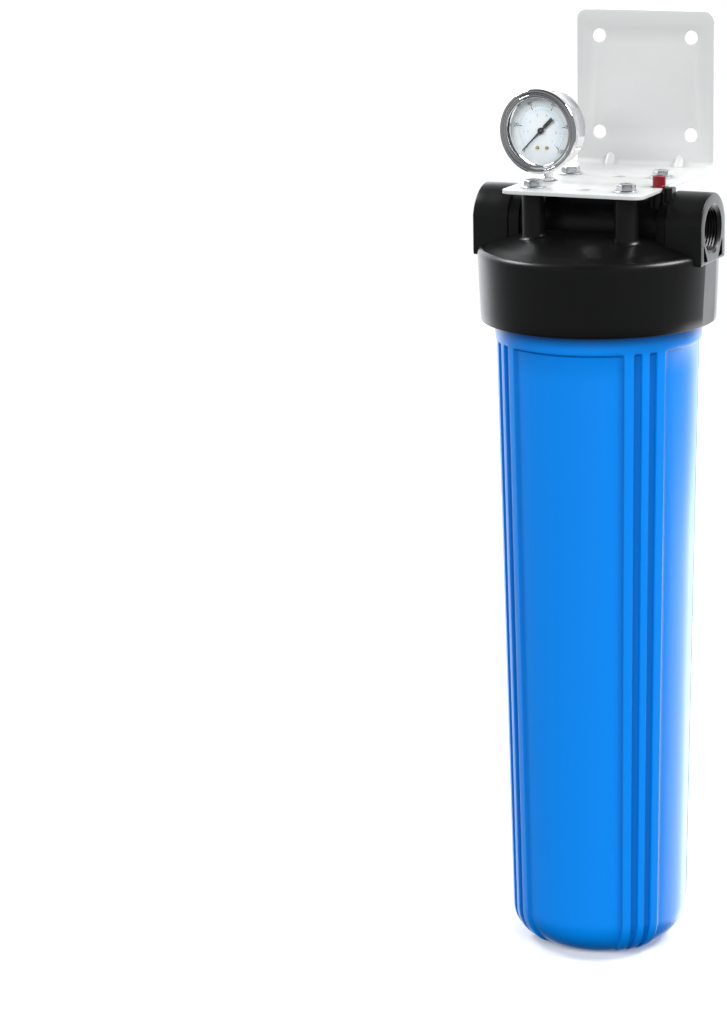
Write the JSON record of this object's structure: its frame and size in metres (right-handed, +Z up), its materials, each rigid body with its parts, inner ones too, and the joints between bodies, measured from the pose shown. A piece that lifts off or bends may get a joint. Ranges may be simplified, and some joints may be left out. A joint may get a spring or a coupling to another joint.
{
  "type": "cartridge filter housing",
  "caption": "Tall in-line cartridge filter housing with a ported black head, blue ribbed screw-on sump, wall bracket, pressure gauge and pressure-relief button.",
  "frame": {"origin": "centre of the sump's flat base", "axes": "+Z up along the sump and through the head; +X towards the outlet port; +Y towards the wall plate, so the gauge faces -Y"},
  "size_m": [0.186, 0.1961, 0.73],
  "materials": {
    "black_plastic": "glass-filled black polypropylene, satin",
    "blue_plastic": "moulded blue polypropylene, satin gloss",
    "bracket_paint": "pale grey-white powder coat",
    "zinc_steel": "zinc plated",
    "spring_steel": "bright wire",
    "gauge_steel": "polished stainless steel",
    "gauge_brass": "machined brass",
    "window_acrylic": "clear polycarbonate window",
    "dial_face": "white printed aluminium",
    "pointer_black": "black painted",
    "red_plastic": "moulded red plastic",
    "seal_rubber": "black nitrile rubber",
    "plug_rubber": "pale grey fill plug",
    "cartridge_plastic": "white polypropylene",
    "filter_media": "pleated filter media"
  },
  "bodies": {
    "head": {"head_cap": "black_plastic", "mounting_bracket": "bracket_paint", "bracket_bolt_1": "zinc_steel", "bracket_bolt_2": "zinc_steel", "bracket_bolt_3": "zinc_steel", "bracket_bolt_4": "zinc_steel", "bracket_washer_1": "zinc_steel", "bracket_washer_2": "zinc_steel", "bracket_washer_3": "zinc_steel", "bracket_washer_4": "zinc_steel", "relief_spring": "spring_steel", "gauge_socket": "gauge_steel", "gauge_case": "gauge_steel", "gauge_bezel": "gauge_steel", "gauge_window": "window_acrylic", "gauge_window_gasket": "seal_rubber", "gauge_dial": "dial_face", "gauge_dial_screw_1": "gauge_brass", "gauge_dial_screw_2": "gauge_brass", "gauge_fill_plug": "plug_rubber", "gauge_bourdon_tube": "gauge_brass", "gauge_movement_frame": "gauge_brass", "gauge_hairspring": "spring_steel"},
    "relief_plunger": {"relief_button": "red_plastic", "relief_o_ring": "seal_rubber", "relief_retainer": "spring_steel"},
    "pointer_shaft": {"gauge_pointer": "pointer_black", "gauge_pinion": "gauge_brass"},
    "sector": {"gauge_sector_gear": "gauge_brass"},
    "link": {"gauge_link": "gauge_brass"},
    "cartridge": {"cartridge_media": "filter_media", "cartridge_core": "cartridge_plastic", "cartridge_top_cap": "cartridge_plastic", "cartridge_bottom_cap": "cartridge_plastic", "cartridge_top_gasket": "seal_rubber", "cartridge_bottom_gasket": "seal_rubber"},
    "sump": {"sump_bowl": "blue_plastic", "sump_o_ring": "seal_rubber"}
  },
  "joints": [
    {"name": "sump_descent", "type": "slide", "parent": "head", "child": "cartridge", "axis": [0, 0, -1], "range_m": [0, 0.018]},
    {"name": "sump_turn", "type": "hinge", "parent": "cartridge", "child": "sump", "pos_m": [0, 0, 0.525], "axis": [0, 0, -1], "range_deg": [0, 1080]},
    {"name": "relief_press", "type": "slide", "parent": "head", "child": "relief_plunger", "axis": [0, 0, -1], "range_m": [0, 0.0025], "stiffness_N_per_m": 900, "springref_m": -0.002, "deforming": ["relief_spring"]},
    {"name": "pointer_swing", "type": "hinge", "parent": "head", "child": "pointer_shaft", "pos_m": [-0.041, 0, 0.6485], "axis": [0.061, 0.9981, 0], "range_deg": [0, 270], "stiffness_Nm_per_rad": 0.0002, "springref_deg": -34.38},
    {"name": "sector_swing", "type": "hinge", "parent": "head", "child": "sector", "pos_m": [-0.041, 0, 0.63242], "axis": [0.061, 0.9981, 0], "range_deg": [-30, 0]},
    {"name": "link_swing", "type": "hinge", "parent": "sector", "child": "link", "pos_m": [-0.04619, 0.00032, 0.63242], "axis": [0.061, 0.9981, 0], "range_deg": [0, 30]}
  ],
  "couplings": [
    {"joint": "sump_descent", "follows": "sump_turn", "m_per_rad": 0.00095493},
    {"joint": "sector_swing", "follows": "pointer_swing", "ratio": -0.11111},
    {"joint": "link_swing", "follows": "pointer_swing", "ratio": 0.11111}
  ]
}
